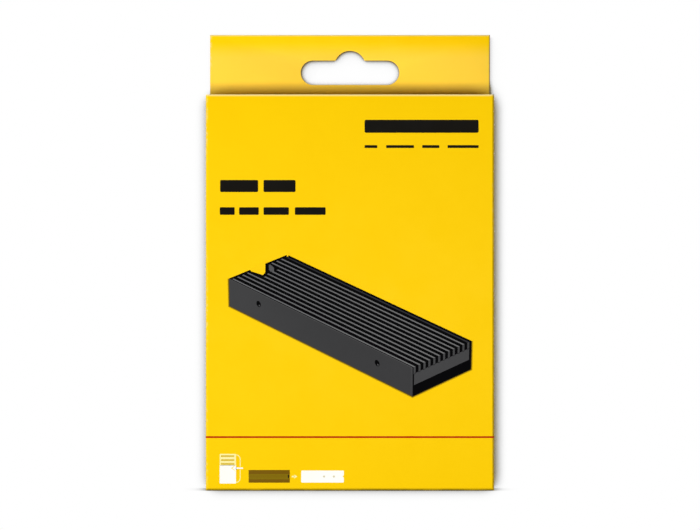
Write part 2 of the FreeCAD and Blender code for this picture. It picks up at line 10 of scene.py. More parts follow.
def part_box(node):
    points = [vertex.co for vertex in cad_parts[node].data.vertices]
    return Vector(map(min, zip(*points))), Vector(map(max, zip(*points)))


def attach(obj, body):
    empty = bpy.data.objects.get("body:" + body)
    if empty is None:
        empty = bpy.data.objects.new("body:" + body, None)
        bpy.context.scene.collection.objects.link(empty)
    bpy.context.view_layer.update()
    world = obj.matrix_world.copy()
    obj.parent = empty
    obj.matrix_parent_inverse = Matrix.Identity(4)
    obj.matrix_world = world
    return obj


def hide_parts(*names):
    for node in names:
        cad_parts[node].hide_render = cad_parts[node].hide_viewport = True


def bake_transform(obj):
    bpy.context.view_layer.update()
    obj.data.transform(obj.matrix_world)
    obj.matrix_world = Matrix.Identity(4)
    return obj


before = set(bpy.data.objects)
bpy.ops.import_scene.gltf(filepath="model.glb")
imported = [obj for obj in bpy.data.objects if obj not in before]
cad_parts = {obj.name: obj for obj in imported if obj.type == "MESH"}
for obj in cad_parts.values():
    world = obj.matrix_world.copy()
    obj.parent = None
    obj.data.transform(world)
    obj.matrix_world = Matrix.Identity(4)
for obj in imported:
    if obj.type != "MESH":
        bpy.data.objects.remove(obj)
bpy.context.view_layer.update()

MM = 0.001
NEAR = 0.01 * MM

# Card, measured on the CAD sleeve and lids
SLEEVE_LOW, SLEEVE_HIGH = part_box("carton_sleeve")
SIDE = SLEEVE_HIGH.x
BACK = SLEEVE_HIGH.y
FRONT = SLEEVE_LOW.y
TAB_TOP = SLEEVE_HIGH.z
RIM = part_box("top_tuck_lid")[1].z
LID_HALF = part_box("top_tuck_lid")[1].x
BOARD = 0.5 * MM
PLY = 0.49 * MM
FOLD = 0.8 * MM
INNER_FOLD = 0.3 * MM
FOLD_STEPS = 6
FLAP_DROP = 0.7 * MM
FLAP_REACH = 24 * MM
GLUE_FLAP = 11 * MM
SEAM = -SIDE + FOLD
TAB_FACE = BACK - 2 * BOARD
TOP_HINGE = TAB_FACE - 0.15 * MM
TOP_TUCK, BOTTOM_TUCK = 16 * MM, 12 * MM
TUCK_GAP = 0.3 * MM
LID_FRONT = FRONT + BOARD + TUCK_GAP

# The hanging slot and the round bump over its middle, levels from the rim
SLOT_LONG, SLOT_HALF, SLOT_LEVEL = 31.5 * MM, 3.9 * MM, 7.6 * MM
BUMP_RADIUS, BUMP_LEVEL = 5 * MM, 9.6 * MM
PUNCH_DEEP = 6 * MM


# Bench tools

def leave_all():
    """Leaves edit mode and drops every selection."""
    if bpy.context.object and bpy.context.object.mode == "EDIT":
        bpy.ops.object.mode_set(mode="OBJECT")
    bpy.ops.object.select_all(action="DESELECT")


def take(piece):
    leave_all()
    bpy.context.view_layer.objects.active = piece
    piece.select_set(True)


def settle(name):
    """Names the new piece and puts its place, turn and size into its mesh."""
    piece = bpy.context.object
    bpy.ops.object.transform_apply(location=True, rotation=True, scale=True)
    piece.name = piece.data.name = name
    return piece


def new_plate(name, centre, width, height, turn=(0, 0, 0)):
    leave_all()
    bpy.ops.mesh.primitive_plane_add(size=1, location=centre, rotation=turn)
    bpy.context.object.scale = (width, height, 1)
    return settle(name)


def open_up(piece):
    take(piece)
    bpy.ops.object.mode_set(mode="EDIT")


def pick(piece, kind, wanted):
    """Selects only the corners, edges or faces whose middle and span pass the test."""
    bpy.ops.mesh.select_mode(type=kind)
    bpy.ops.mesh.select_all(action="DESELECT")
    mesh = bmesh.from_edit_mesh(piece.data)
    for part in {"VERT": mesh.verts, "EDGE": mesh.edges, "FACE": mesh.faces}[kind]:
        points = [part.co] if kind == "VERT" else [v.co for v in part.verts]
        low = Vector(map(min, zip(*points)))
        high = Vector(map(max, zip(*points)))
        if wanted((low + high) / 2, high - low):
            part.select_set(True)
    mesh.select_flush_mode()
    bmesh.update_edit_mesh(piece.data)


def near(a, b):
    return abs(a - b) < NEAR


def pull(x, y, z):
    bpy.ops.mesh.extrude_region_move(TRANSFORM_OT_translate={"value": (x, y, z)})


def slit(point, normal, drop=False):
    """Cuts the selected faces along a plane, and drops what lies beyond it where asked."""
    bpy.ops.mesh.bisect(plane_co=point, plane_no=normal, clear_outer=drop, threshold=1e-7)


def apply(piece, kind, **settings):
    take(piece)
    change = piece.modifiers.new(kind.lower(), kind)
    for name, value in settings.items():
        setattr(change, name, value)
    bpy.ops.object.modifier_apply(modifier=change.name)


def give(piece, *materials):
    piece.data.materials.clear()
    for material in materials:
        piece.data.materials.append(material)


def smooth(piece, degrees=32):
    take(piece)
    bpy.ops.object.shade_smooth_by_angle(angle=math.radians(degrees))


def face_out(sheet, sample, outward):
    """Turns every face the same way round, with the printed side outwards at the sampled place."""
    open_up(sheet)
    bpy.ops.mesh.select_all(action="SELECT")
    bpy.ops.mesh.remove_doubles(threshold=NEAR / 5)
    bpy.ops.mesh.normals_make_consistent(inside=False)
    leave_all()
    face = min(sheet.data.polygons, key=lambda f: (f.center - Vector(sample)).length)
    if face.normal.dot(Vector(outward)) < 0:
        open_up(sheet)
        bpy.ops.mesh.select_all(action="SELECT")
        bpy.ops.mesh.flip_normals()
        leave_all()


def face_front(piece):
    """Turns every face of a flat piece towards the front."""
    open_up(piece)
    bpy.ops.mesh.select_mode(type="FACE")
    bpy.ops.mesh.select_all(action="DESELECT")
    mesh = bmesh.from_edit_mesh(piece.data)
    for face in mesh.faces:
        face.select_set(face.normal.y > 0)
    bmesh.update_edit_mesh(piece.data)
    bpy.ops.mesh.flip_normals()
    leave_all()


def join(name, pieces):
    take(pieces[0])
    for piece in pieces:
        piece.select_set(True)
    if len(pieces) > 1:
        bpy.ops.object.join()
    joined = bpy.context.object
    joined.name = joined.data.name = name
    return joined


# Shared surface effects

def linear(red, green, blue):
    """A shade given as it looks on a screen, 0 to 255, as the shader wants it."""
    def channel(value):
        share = value / 255
        return share / 12.92 if share <= 0.04045 else ((share + 0.055) / 1.055) ** 2.4
    return channel(red), channel(green), channel(blue), 1.0


class Bench:
    """Adds and joins shader nodes in one tree."""

    def __init__(self, tree):
        self.tree = tree

    def add(self, kind, **settings):
        node = self.tree.nodes.new(kind)
        for name, value in settings.items():
            setattr(node, name, value)
        return node

    def feed(self, socket, value):
        if isinstance(value, bpy.types.NodeSocket):
            self.tree.links.new(value, socket)
        else:
            socket.default_value = value

    def math(self, operation, *values, clamp=False):
        node = self.add("ShaderNodeMath", operation=operation, use_clamp=clamp)
        for socket, value in zip(node.inputs, values):
            self.feed(socket, value)
        return node.outputs[0]

    def times(self, one, two):
        return self.math("MULTIPLY", one, two)

    def plus(self, one, two, clamp=False):
        return self.math("ADD", one, two, clamp=clamp)

    def minus(self, one, two):
        return self.math("SUBTRACT", one, two)

    def most(self, *values):
        """The greatest of two or more values."""
        greatest = values[0]
        for value in values[1:]:
            greatest = self.math("MAXIMUM", greatest, value)
        return greatest

    def below(self, value, level):
        return self.math("LESS_THAN", value, level)

    def above(self, value, level):
        return self.math("GREATER_THAN", value, level)

    def size(self, value):
        return self.math("ABSOLUTE", value)

    def noise(self, vector, scale, detail=2.0, roughness=0.5):
        node = self.add("ShaderNodeTexNoise")
        self.feed(node.inputs["Vector"], vector)
        self.feed(node.inputs["Scale"], scale)
        node.inputs["Detail"].default_value = detail
        node.inputs["Roughness"].default_value = roughness
        return node.outputs["Fac"]

    def stretch(self, vector, sizes):
        node = self.add("ShaderNodeMapping")
        self.feed(node.inputs["Vector"], vector)
        node.inputs["Scale"].default_value = sizes
        return node.outputs["Vector"]

    def ramp(self, value, low, high, to_low=0.0, to_high=1.0):
        node = self.add("ShaderNodeMapRange", interpolation_type="SMOOTHSTEP")
        for socket, given in zip(node.inputs, (value, low, high, to_low, to_high)):
            self.feed(socket, given)
        return node.outputs[0]

    def blend(self, share, one, two):
        node = self.add("ShaderNodeMix", data_type="RGBA")
        self.feed(node.inputs[0], share)
        self.feed(node.inputs[6], one)
        self.feed(node.inputs[7], two)
        return node.outputs[2]

    def split(self, vector):
        node = self.add("ShaderNodeSeparateXYZ")
        self.feed(node.inputs[0], vector)
        return node.outputs[:]

    def direction(self, x, y, z):
        node = self.add("ShaderNodeCombineXYZ")
        for socket, value in zip(node.inputs, (x, y, z)):
            self.feed(socket, value)
        unit = self.add("ShaderNodeVectorMath", operation="NORMALIZE")
        self.feed(unit.inputs[0], node.outputs[0])
        return unit.outputs[0]

    def bump(self, height, strength, distance):
        node = self.add("ShaderNodeBump")
        node.inputs["Strength"].default_value = strength
        node.inputs["Distance"].default_value = distance
        self.feed(node.inputs["Height"], height)
        return node.outputs["Normal"]


def new_group(name, inputs, outputs):
    """An empty shader node group with named inputs and outputs, each a float or a vector."""
    tree = bpy.data.node_groups.new(name, "ShaderNodeTree")
    for label, kind, value in inputs:
        socket = tree.interface.new_socket(label, in_out="INPUT", socket_type=kind)
        if value is not None:
            socket.default_value = value
    for label in outputs:
        tree.interface.new_socket(label, in_out="OUTPUT", socket_type="NodeSocketFloat")
    bench = Bench(tree)
    return bench, bench.add("NodeGroupInput").outputs, bench.add("NodeGroupOutput").inputs


VECTOR = ("Vector", "NodeSocketVector", None)
NUMBER = "NodeSocketFloat"


def make_fibre():
    """Board fibre: pale and dark flecks, and the felt side's fine unevenness."""
    bench, given, out = new_group("board_fibre", [VECTOR, ("Grain", NUMBER, 900.0)], ["Fleck", "Height"])
    long_way = bench.stretch(given["Vector"], (1.0, 1.0, 0.28))
    short_way = bench.stretch(given["Vector"], (0.3, 1.0, 1.0))
    one = bench.noise(long_way, given["Grain"], 3, 0.6)
    two = bench.noise(short_way, given["Grain"], 3, 0.6)
    cloud = bench.noise(given["Vector"], 70.0, 3, 0.5)
    felt = bench.plus(bench.times(one, 0.5), bench.times(two, 0.5))
    bench.feed(out["Height"], felt)
    mixed = bench.plus(bench.times(felt, 0.7), bench.times(cloud, 0.3))
    bench.feed(out["Fleck"], bench.ramp(mixed, 0.36, 0.64))
    return bench.tree


def make_varnish():
    """Satin varnish over solid board: fine orange peel, slow waves, and a faint cloud in the gloss."""
    bench, given, out = new_group("satin_varnish", [VECTOR], ["Peel", "Wave", "Cloud"])
    bench.feed(out["Peel"], bench.noise(given["Vector"], 1500.0, 2, 0.5))
    slow = bench.stretch(given["Vector"], (1.0, 1.0, 0.55))
    bench.feed(out["Wave"], bench.noise(slow, 26.0, 2, 0.45))
    bench.feed(out["Cloud"], bench.noise(given["Vector"], 95.0, 4, 0.6))
    return bench.tree


def make_wear_and_painted_light():
    """Wear and painted light on the printed side: rubbed folds, cracked ink that also paints a
    highlight, a painted sheen on the tab, and painted shade along edges and in the tab's crease.
    """
    bench, given, out = new_group("board_wear_and_painted_light", [VECTOR, ("Breadth", NUMBER, 0.0009)],
                                  ["Rubbed", "CrackAndHighlight", "PaintedSheen", "PaintedEdgeShade", "PaintedCreaseShade"])
    x, y, z = bench.split(given["Vector"])
    flat_x, flat_y = bench.size(x), bench.size(y)
    breadth = given["Breadth"]

    def close_to(value, level, reach):
        return bench.minus(1.0, bench.ramp(bench.size(bench.minus(value, level)), 0.0, reach))

    tab_only = bench.ramp(z, RIM, RIM + MM)
    before_back = bench.below(y, BACK - BOARD)

    upright = bench.times(close_to(flat_x, SIDE, breadth), close_to(flat_y, BACK, breadth))
    tab_sides = bench.times(close_to(flat_x, SIDE - FOLD, breadth), tab_only)
    broken = bench.ramp(bench.noise(given["Vector"], 620.0, 4, 0.65), 0.46, 0.64)
    patches = bench.ramp(bench.noise(given["Vector"], 48.0, 2, 0.5), 0.44, 0.64)
    bench.feed(out["Rubbed"], bench.times(bench.most(upright, tab_sides), bench.times(broken, patches)))

    # Cracked ink as a pale line along the front's rim and the tab's crest, which also paints the
    # highlight on these edges.
    rim = bench.times(close_to(z, RIM, 0.75 * MM), bench.below(y, FRONT + FOLD))
    crest = close_to(z, TAB_TOP, 0.6 * MM)
    bench.feed(out["CrackAndHighlight"], bench.times(bench.most(rim, crest), 0.75))

    # Painted sheen: a paler band across the tab's middle, standing in for a soft reflection.
    middle = bench.times(bench.ramp(z, RIM + 0.5 * MM, RIM + 3 * MM),
                         bench.ramp(z, TAB_TOP - 2 * MM, TAB_TOP - 8 * MM))
    bench.feed(out["PaintedSheen"], bench.times(bench.times(middle, before_back), 0.13))

    # Painted shade: an uneven darker line along the foot of every panel, down the front's right fold and
    # along the tab's right side, where light falls less.
    outside = bench.most(close_to(flat_x, SIDE, 0.4 * MM), close_to(flat_y, BACK, 0.4 * MM))
    foot = bench.times(close_to(z, 0.0, MM), outside)
    right_fold = bench.times(close_to(x, SIDE, FOLD), close_to(y, FRONT, FOLD))
    tab_side = bench.times(close_to(x, SIDE - FOLD, 0.5 * MM), tab_only)
    uneven = bench.ramp(bench.noise(given["Vector"], 160.0, 3, 0.6), 0.3, 0.6, 0.82, 1.0)
    bench.feed(out["PaintedEdgeShade"], bench.times(bench.most(foot, right_fold, tab_side), uneven))

    # Painted shade: the tab darkens and greys towards its crease with the top lid, where shade falls.
    tab_foot = bench.times(bench.above(z, RIM + NEAR), before_back)
    bench.feed(out["PaintedCreaseShade"], bench.times(tab_foot, bench.ramp(z, RIM + 5 * MM, RIM, 0.0, 0.42)))
    return bench.tree


FIBRE = make_fibre()
VARNISH = make_varnish()
WEAR_AND_PAINTED_LIGHT = make_wear_and_painted_light()


def new_material(name, roughness, metallic=0.0, specular=0.5):
    """A material with its shader, and the piece's own place as the vector that its patterns read."""
    material = bpy.data.materials.new(name)
    material.use_nodes = True
    shader = material.node_tree.nodes["Principled BSDF"]
    shader.inputs["Roughness"].default_value = roughness
    shader.inputs["Metallic"].default_value = metallic
    shader.inputs["Specular IOR Level"].default_value = specular
    bench = Bench(material.node_tree)
    place = bench.add("ShaderNodeTexCoord").outputs["Object"]
    return material, shader.inputs, bench, place


def use(bench, group, vector, **values):
    node = bench.add("ShaderNodeGroup", node_tree=group)
    bench.feed(node.inputs["Vector"], vector)
    for name, value in values.items():
        node.inputs[name].default_value = value
    return node.outputs


# Finishes of the card and its print, and the light and shade painted into the card's colour

RUN_SHARE = 0.8
RUBBED_SHADE = linear(246, 232, 186)
# Pale cracked ink, which also serves as the painted highlight on the rim and crest.
CRACK_AND_HIGHLIGHT_SHADE = linear(250, 236, 176)
# Painted sheen on the tab's middle.
PAINTED_SHEEN_SHADE = linear(255, 236, 170)
# Painted shade along the foot, the right fold and the tab's right side.
PAINTED_EDGE_SHADE = linear(92, 74, 4)
# Painted shade in the tab's crease.
PAINTED_CREASE_SHADE = linear(112, 106, 90)


def card_print(name, shade, deeper, run=None, add_wear_and_light=False, roughness=0.5, specular=0.02):
    """Ink under satin varnish, a hair uneven.

    With run, it goes from one shade to the other between two places, in millimetres across the panel.
    """
    material, sockets, bench, place = new_material(name, roughness, 0, specular)
    varnish = use(bench, VARNISH, place)
    fibre = use(bench, FIBRE, place, Grain=1100.0)
    patchy = bench.times(bench.ramp(varnish["Cloud"], 0.3, 0.7), 0.5)
    speck = bench.times(fibre["Fleck"], 0.28)
    share = bench.plus(patchy, speck, clamp=True)
    if run:
        across = bench.ramp(bench.split(place)[0], run[0] * MM, run[1] * MM)
        share = bench.plus(bench.times(share, 1 - RUN_SHARE), bench.times(across, RUN_SHARE))
    colour = bench.blend(share, shade, deeper)
    gloss = bench.ramp(varnish["Cloud"], 0.25, 0.75, roughness - 0.05, roughness + 0.05)
    # Rubbed folds are wear. The highlight along the cracked rim and crest, the sheen on the tab, and the
    # darker edges and crease are painted light and shade.
    if add_wear_and_light:
        wear_and_light = use(bench, WEAR_AND_PAINTED_LIGHT, place, Breadth=0.9 * MM)
        colour = bench.blend(wear_and_light["PaintedSheen"], colour, PAINTED_SHEEN_SHADE)
        colour = bench.blend(wear_and_light["CrackAndHighlight"], colour, CRACK_AND_HIGHLIGHT_SHADE)
        colour = bench.blend(bench.times(wear_and_light["Rubbed"], 0.45), colour, RUBBED_SHADE)
        colour = bench.blend(wear_and_light["PaintedEdgeShade"], colour, PAINTED_EDGE_SHADE)
        colour = bench.blend(wear_and_light["PaintedCreaseShade"], colour, PAINTED_CREASE_SHADE)
        gloss = bench.plus(gloss, bench.times(wear_and_light["Rubbed"], 0.3))
    bench.feed(sockets["Base Color"], colour)
    bench.feed(sockets["Roughness"], gloss)
    height = bench.plus(varnish["Wave"], bench.times(varnish["Peel"], 0.012))
    bench.feed(sockets["Normal"], bench.bump(height, 0.35, 0.8 * MM))
    return material


def bare_board(name, shade, darker, grain, layered=False):
    """Uncoated board: fibre flecks, and at a cut edge the plies as fine lines."""
    material, sockets, bench, place = new_material(name, 0.88, 0, 0.2)
    fibre = use(bench, FIBRE, place, Grain=grain)
    share = fibre["Fleck"]
    if layered:
        share = bench.plus(bench.times(share, 0.6), bench.times(bench.noise(place, 4200.0, 1, 0.5), 0.4))
    bench.feed(sockets["Base Color"], bench.blend(share, shade, darker))
    bench.feed(sockets["Normal"], bench.bump(fibre["Height"], 0.5, 0.12 * MM))
    return material


YELLOW, YELLOW_DEEP = linear(255, 208, 3), linear(253, 205, 2)
YELLOW_GLOSS, PICTURE_GLOSS = 0.025, 0.01
PRINTED = card_print("printed_board", YELLOW, YELLOW_DEEP, add_wear_and_light=True, specular=YELLOW_GLOSS)
RAW = bare_board("raw_board", linear(222, 217, 206), linear(197, 190, 176), 700.0)
CUT_EDGE = bare_board("cut_edge", linear(240, 228, 196), linear(208, 190, 150), 2400.0, layered=True)


# Card

def thicken(sheet):
    """Gives the folded sheet its thickness, unprinted inside and raw at the cut edges."""
    give(sheet, PRINTED, RAW, CUT_EDGE)
    apply(sheet, "SOLIDIFY", thickness=PLY, offset=-1, use_even_offset=True, material_offset=1,
          material_offset_rim=2)


def ease_edges(piece):
    apply(piece, "BEVEL", width=0.05 * MM, segments=2, limit_method="ANGLE",
          angle_limit=math.radians(50), use_clamp_overlap=True)
    smooth(piece)


def fold_sleeve():
    """One sheet: back, right, front and left panels, glue flap, four dust flaps and the doubled tab."""
    depth, width = BACK - FRONT, 2 * SIDE
    sheet = new_plate("carton_card", ((SEAM + SIDE) / 2, BACK, RIM / 2), SIDE - SEAM, RIM,
                      (-math.pi / 2, 0, 0))
    open_up(sheet)
    pick(sheet, "EDGE", lambda m, s: near(m.x, SIDE))
    pull(0, -depth, 0)
    pull(-width, 0, 0)
    pull(0, depth - BOARD, 0)
    pull(GLUE_FLAP, 0, 0)
    pick(sheet, "EDGE", lambda m, s: near(abs(m.x), SIDE) and s.z > MM)
    bpy.ops.mesh.bevel(offset=FOLD, segments=FOLD_STEPS, profile=0.5, affect="EDGES")
    cut_panel_ends(sheet)
    for side in (-1, 1):
        for end in (-1, 1):
            fold_dust_flap(sheet, side, end)
    fold_tab(sheet)
    face_out(sheet, (0, FRONT, RIM / 2), (0, -1, 0))
    thicken(sheet)
    return sheet


def cut_panel_ends(sheet):
    """Ends the side panels where their dust flaps fold over, and the back panel at its crease."""
    edge_half = BACK - BOARD - FOLD
    root_half = edge_half - BOARD
    low, high = FLAP_DROP + FOLD, RIM - FLAP_DROP - FOLD

    def side_face(m, s):
        return near(abs(m.x), SIDE) and s.x < NEAR

    for y in (edge_half, root_half):
        for sign in (-1, 1):
            pick(sheet, "FACE", side_face)
            slit((0, sign * y, 0), (0, 1, 0))
    for z in (low, high):
        pick(sheet, "FACE", lambda m, s: side_face(m, s) and abs(m.y) < edge_half)
        slit((0, 0, z), (0, 0, 1))
    pick(sheet, "FACE",
         lambda m, s: side_face(m, s) and abs(m.y) < edge_half and not low <= m.z <= high)
    bpy.ops.mesh.delete(type="FACE")
    pick(sheet, "FACE", lambda m, s: near(m.y, BACK) and s.x > FOLD)
    slit((0, 0, FOLD), (0, 0, -1), drop=True)
    set_back, taper = 1.6 * MM, 5 * MM
    for level, way in ((0, -1), (RIM, 1)):
        pick(sheet, "FACE", lambda m, s: near(m.y, BACK - BOARD) and s.x > FOLD)
        slit((SEAM, BACK, level - way * set_back), (taper, 0, way * GLUE_FLAP), drop=True)


def fold_dust_flap(sheet, side, end):
    """Turns the side panel's edge over and runs it on to the flap's rounded free edge."""
    root_half = BACK - 2 * BOARD - FOLD
    crease = RIM - FLAP_DROP - FOLD if end > 0 else FLAP_DROP + FOLD
    flat = crease + end * FOLD
    pick(sheet, "EDGE", lambda m, s: near(m.x, side * SIDE) and near(m.z, crease) and abs(m.y) < MM)
    bpy.ops.mesh.spin(steps=FOLD_STEPS, angle=math.pi / 2, center=(side * (SIDE - FOLD), 0, crease),
                      axis=(0, side * end, 0))
    pick(sheet, "EDGE", lambda m, s: near(m.x, side * (SIDE - FOLD)) and near(m.z, flat) and s.y > MM)
    pull(-side * (FLAP_REACH - FOLD), 0, 0)
    free = side * (SIDE - FLAP_REACH)
    for sign, corner in ((-1, 8 * MM), (1, 2 * MM)):
        pick(sheet, "VERT",
             lambda m, s: near(m.x, free) and near(m.z, flat) and m.y * sign > root_half - MM)
        bpy.ops.mesh.bevel(offset=corner, segments=8, profile=0.5, affect="VERTICES")


def fold_tab(sheet):
    """The back panel runs on up, folds over and comes down in front of itself."""
    top = TAB_TOP - BOARD
    pick(sheet, "EDGE", lambda m, s: near(m.y, BACK) and near(m.z, RIM) and s.x > SIDE)
    pull(0, 0, top - RIM)
    bpy.ops.mesh.spin(steps=8, angle=math.pi, center=(0, BACK - BOARD, top), axis=(-1, 0, 0))
    pick(sheet, "EDGE", lambda m, s: near(m.y, BACK - 2 * BOARD) and near(m.z, top) and s.x > SIDE)
    pull(0, 0, RIM + INNER_FOLD - top)


def punch_slot(sheet):
    """Stamps the hanging slot and the round bump over its middle through both layers."""
    leave_all()
    bpy.ops.mesh.primitive_cube_add(size=1, location=(0, BACK - BOARD, RIM + SLOT_LEVEL))
    bpy.context.object.scale = (SLOT_LONG, PUNCH_DEEP, 2 * SLOT_HALF)
    slot_punch = settle("slot_punch")
    open_up(slot_punch)
    pick(slot_punch, "EDGE", lambda m, s: s.y > MM)
    bpy.ops.mesh.bevel(offset=SLOT_HALF - NEAR, segments=14, profile=0.5, affect="EDGES")
    leave_all()
    bpy.ops.mesh.primitive_cylinder_add(vertices=72, radius=BUMP_RADIUS, depth=PUNCH_DEEP,
                                        location=(0, BACK - BOARD, RIM + BUMP_LEVEL),
                                        rotation=(math.pi / 2, 0, 0))
    bump_punch = settle("bump_punch")
    for punch in (slot_punch, bump_punch):
        give(punch, CUT_EDGE)
        apply(sheet, "BOOLEAN", object=punch, operation="DIFFERENCE", solver="EXACT",
              material_mode="TRANSFER")
        bpy.data.objects.remove(punch)


def fold_lid(name, level, way, hinge, start, depth):
    """A lid panel and its tuck tongue, which curves about the lid's own hinge."""
    swing = hinge - LID_FRONT
    turn = (0, 0, 0) if way < 0 else (math.pi, 0, 0)
    sheet = new_plate(name, (0, (start + LID_FRONT) / 2, level), 2 * LID_HALF, start - LID_FRONT, turn)
    open_up(sheet)
    pick(sheet, "EDGE", lambda m, s: near(m.y, LID_FRONT))
    bpy.ops.mesh.spin(steps=8, angle=math.asin(depth / swing), center=(0, hinge, level),
                      axis=(way, 0, 0))
    corner = 7 * MM
    for side in (-1, 1):
        middle = Vector((side * (LID_HALF - corner), 0, level + way * (depth - corner)))
        for step in range(6):
            slope = math.radians(7.5 + 15 * step)
            outward = Vector((side * math.cos(slope), 0, way * math.sin(slope)))
            pick(sheet, "FACE", lambda m, s: s.z > NEAR)
            slit(middle + corner * outward, outward, drop=True)
    pick(sheet, "EDGE", lambda m, s: near(m.y, LID_FRONT) and near(m.z, level) and s.x > SIDE)
    bpy.ops.mesh.bevel(offset=FOLD, segments=FOLD_STEPS, profile=0.5, affect="EDGES")
    face_out(sheet, (0, 0, level), (0, 0, -way))
    thicken(sheet)
    ease_edges(sheet)
    return sheet


def fold_crease(name, start_y, start_z, pivot, inward):
    """The strip of card that bends at a lid's crease, from the upright sheet round to the lid."""
    strip = new_plate(name, (0, start_y, start_z + MM), 2 * LID_HALF, 2 * MM, (-math.pi / 2, 0, 0))
    open_up(strip)
    pick(strip, "EDGE", lambda m, s: near(m.z, start_z))
    bpy.ops.mesh.spin(steps=8, angle=math.pi / 2, center=pivot, axis=(1, 0, 0))
    pick(strip, "FACE", lambda m, s: m.z > start_z)
    bpy.ops.mesh.delete(type="FACE")
    middle = Vector((0, (start_y + pivot[1]) / 2, (start_z + pivot[2]) / 2))
    towards = Vector((0, -1, 1)) if inward else Vector((0, 1, -1))
    face_out(strip, middle, towards)
    thicken(strip)
    smooth(strip)
    return strip


def place_on(body, piece):
    """Sets the piece on its body."""
    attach(piece, body)
    return piece


sleeve = fold_sleeve()
punch_slot(sleeve)
ease_edges(sleeve)
place_on("carton", sleeve)
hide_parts("carton_sleeve")

top_lid = fold_lid("top_lid_card", RIM, -1, TOP_HINGE, TAB_FACE - INNER_FOLD, TOP_TUCK)
place_on("top_lid", top_lid)
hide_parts("top_tuck_lid")
bottom_lid = fold_lid("bottom_lid_card", 0, 1, BACK, BACK - FOLD, BOTTOM_TUCK)
place_on("bottom_lid", bottom_lid)
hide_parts("bottom_tuck_lid")

top_crease = fold_crease("top_lid_crease", TAB_FACE, RIM + INNER_FOLD,
                         (0, TAB_FACE - INNER_FOLD, RIM + INNER_FOLD), True)
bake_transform(top_crease)
bottom_crease = fold_crease("bottom_lid_crease", BACK, FOLD, (0, BACK - FOLD, FOLD), False)
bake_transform(bottom_crease)


# Inks

BLACK_INK = card_print("black_ink", linear(10, 8, 4), linear(17, 14, 9))
RED_INK = card_print("red_ink", linear(184, 30, 2), linear(176, 26, 2))
WHITE_INK = card_print("white_ink", linear(255, 254, 248), linear(252, 250, 240))
CREAM_INK = card_print("cream_ink", linear(255, 244, 172), linear(252, 238, 158))
TAN_INK = card_print("tan_ink", linear(220, 190, 66), linear(214, 184, 60))
MARK_INK = card_print("pale_mark", linear(216, 208, 172), linear(208, 200, 164))
BROWN_INK = card_print("brown_ink", linear(120, 88, 1), linear(112, 82, 1))
OLIVE_INK = card_print("olive_ink", linear(134, 112, 2), linear(127, 106, 2))
GROUND_INK = card_print("ground_ink", YELLOW, YELLOW_DEEP, specular=YELLOW_GLOSS)
PICTURE_BLACK = card_print("picture_black", linear(2, 2, 3), linear(6, 6, 7), roughness=0.6,
                           specular=PICTURE_GLOSS)
PICTURE_SIDE = card_print("picture_side", linear(65, 65, 66), linear(58, 58, 59), run=(-39, -6),
                          specular=PICTURE_GLOSS)
PICTURE_EDGE = card_print("picture_edge", linear(84, 84, 85), linear(74, 74, 75), specular=PICTURE_GLOSS)
PICTURE_FIN = card_print("picture_fin", linear(99, 99, 101), linear(110, 110, 110), run=(-34, 24),
                         specular=PICTURE_GLOSS)
PICTURE_FAR = card_print("picture_far", linear(36, 37, 42), linear(48, 48, 52), run=(-34, 24),
                         specular=PICTURE_GLOSS)
PICTURE_END = card_print("picture_end", linear(69, 69, 70), linear(66, 66, 67), specular=PICTURE_GLOSS)
PICTURE_RIM = card_print("picture_rim", linear(104, 82, 6), linear(96, 76, 5))
PICTURE_HALO = card_print("picture_halo", linear(204, 166, 5), linear(198, 160, 4))


# Print on the front panel: ink sinks into the card, and each coat stands out from it

INK_IN, INK_OUT = 0.02 * MM, 0.03 * MM


def lay_ink(name, ink, pieces, coat):
    """Gives flat pieces on the front panel the thickness of their coats, and sets them on the card.
    """
    piece = join(name, pieces)
    give(piece, ink)
    apply(piece, "SOLIDIFY", thickness=INK_IN + coat * INK_OUT, offset=-1)
    return place_on("carton", piece)


def field(left, right, bottom, top, corner=0.0, coat=1):
    """One flat field, given by its edges in millimetres from the front panel's middle and foot."""
    centre = ((left + right) / 2 * MM, FRONT - coat * INK_OUT, (bottom + top) / 2 * MM)
    plate = new_plate("field", centre, (right - left) * MM, (top - bottom) * MM, (math.pi / 2, 0, 0))
    if corner:
        open_up(plate)
        pick(plate, "VERT", lambda m, s: True)
        bpy.ops.mesh.bevel(offset=corner * MM, segments=4, profile=0.5, affect="VERTICES")
        leave_all()
    return plate


def patch(corners, coat):
    """A flat field between any corners that bulge outwards, cut from a plate along each side."""
    across, up = zip(*corners)
    plate = field(min(across) - 1, max(across) + 1, min(up) - 1, max(up) + 1, coat=coat)
    middle = Vector((sum(across) / len(corners), 0, sum(up) / len(corners)))
    open_up(plate)
    for one, two in zip(corners, corners[1:] + corners[:1]):
        outward = Vector((two[1] - one[1], 0, one[0] - two[0]))
        corner = Vector((one[0], 0, one[1]))
        if outward.dot(corner - middle) < 0:
            outward.negate()
        bpy.ops.mesh.select_all(action="SELECT")
        slit(corner * MM, outward.normalized(), drop=True)
    leave_all()
    return plate


def ring(left, right, bottom, top, corner, line, coat):
    """A field with only its outline left, as broad as the line."""
    plate = field(left, right, bottom, top, corner, coat)
    open_up(plate)
    bpy.ops.mesh.select_all(action="SELECT")
    bpy.ops.mesh.inset(thickness=line * MM)
    bpy.ops.mesh.delete(type="FACE")
    leave_all()
    return plate


def arrow(tip, way, head, half, shaft, coat, spread=0.0):
    """An arrow that points left or right, its head and shaft spread by a margin for an outline."""
    across, up = tip
    back = across - way * head
    point = across + way * spread * 1.6
    wing = back - way * spread
    shaft_half, overlap = 0.22, 0.1
    corners = [(point, up), (wing, up + half + spread), (wing, up - half - spread)]
    low, high = sorted((back + way * overlap, back - way * (shaft + spread)))
    return [patch(corners, coat),
            field(low, high, up - shaft_half - spread, up + shaft_half + spread, coat=coat)]


